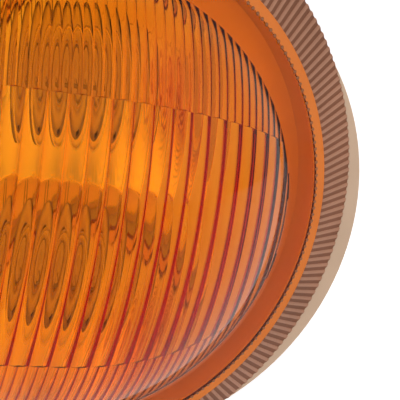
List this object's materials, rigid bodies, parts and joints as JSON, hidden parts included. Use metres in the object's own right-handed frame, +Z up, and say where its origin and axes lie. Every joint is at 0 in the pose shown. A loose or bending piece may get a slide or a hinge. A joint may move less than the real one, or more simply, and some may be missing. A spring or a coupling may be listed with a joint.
{
  "type": "corner light",
  "caption": "Amber corner light: fluted domed lens with a ribbed rim, housing with fixing lug and pegs, twin reflector, and two bulbs in twist-lock holders.",
  "frame": {"origin": "centre of the fixing hole at the lug's back face", "axes": "+X towards the round nose, -Y the way the lens faces, +Z up"},
  "size_m": [0.1594, 0.0905, 0.13],
  "materials": {
    "amber_lens": "clear amber, polished outside",
    "sealant": "matt",
    "housing_plastic": "beige, fine grain",
    "reflector_metal": "metallised",
    "screw_steel": "plated",
    "bulb_glass": "clear",
    "filament_wire": "drawn wire",
    "brass": "satin",
    "black_insulator": "glossy",
    "contact_tin": "tinned",
    "holder_plastic": "pale, fine grain",
    "black_rubber": "matt",
    "filter_foam": "open foam"
  },
  "bodies": {
    "lamp": {"lens": "amber_lens", "lens_seal": "sealant", "housing": "housing_plastic", "reflector": "reflector_metal", "reflector_screws": "screw_steel", "vent_cap": "black_rubber", "vent_filter": "filter_foam", "body_gasket": "black_rubber", "lug_bush": "brass"},
    "holder": {"bulb_holder": "holder_plastic", "holder_seal": "black_rubber", "holder_sleeve": "contact_tin", "contact_spring": "brass", "terminals": "contact_tin", "bulb_glass": "bulb_glass", "bulb_stem": "bulb_glass", "filament": "filament_wire", "filament_leads": "filament_wire", "bulb_cap": "brass", "bulb_pins": "brass", "bulb_insulator": "black_insulator", "bulb_contact": "contact_tin"},
    "upper_holder": {"upper_bulb_holder": "holder_plastic", "upper_holder_seal": "black_rubber", "upper_holder_sleeve": "contact_tin", "upper_contact_spring": "brass", "upper_terminals": "contact_tin", "upper_bulb_glass": "bulb_glass", "upper_bulb_stem": "bulb_glass", "upper_filament": "filament_wire", "upper_filament_leads": "filament_wire", "upper_bulb_cap": "brass", "upper_bulb_pins": "brass", "upper_bulb_insulator": "black_insulator", "upper_bulb_contact": "contact_tin"}
  },
  "joints": [
    {"name": "holder_twist", "type": "hinge", "parent": "lamp", "child": "holder", "pos_m": [0.08, 0.0172, -0.0215], "axis": [0, 1, 0], "range_deg": [0, 45]},
    {"name": "upper_holder_twist", "type": "hinge", "parent": "lamp", "child": "upper_holder", "pos_m": [0.08, 0.0172, 0.0215], "axis": [0, 1, 0], "range_deg": [0, 45]}
  ]
}
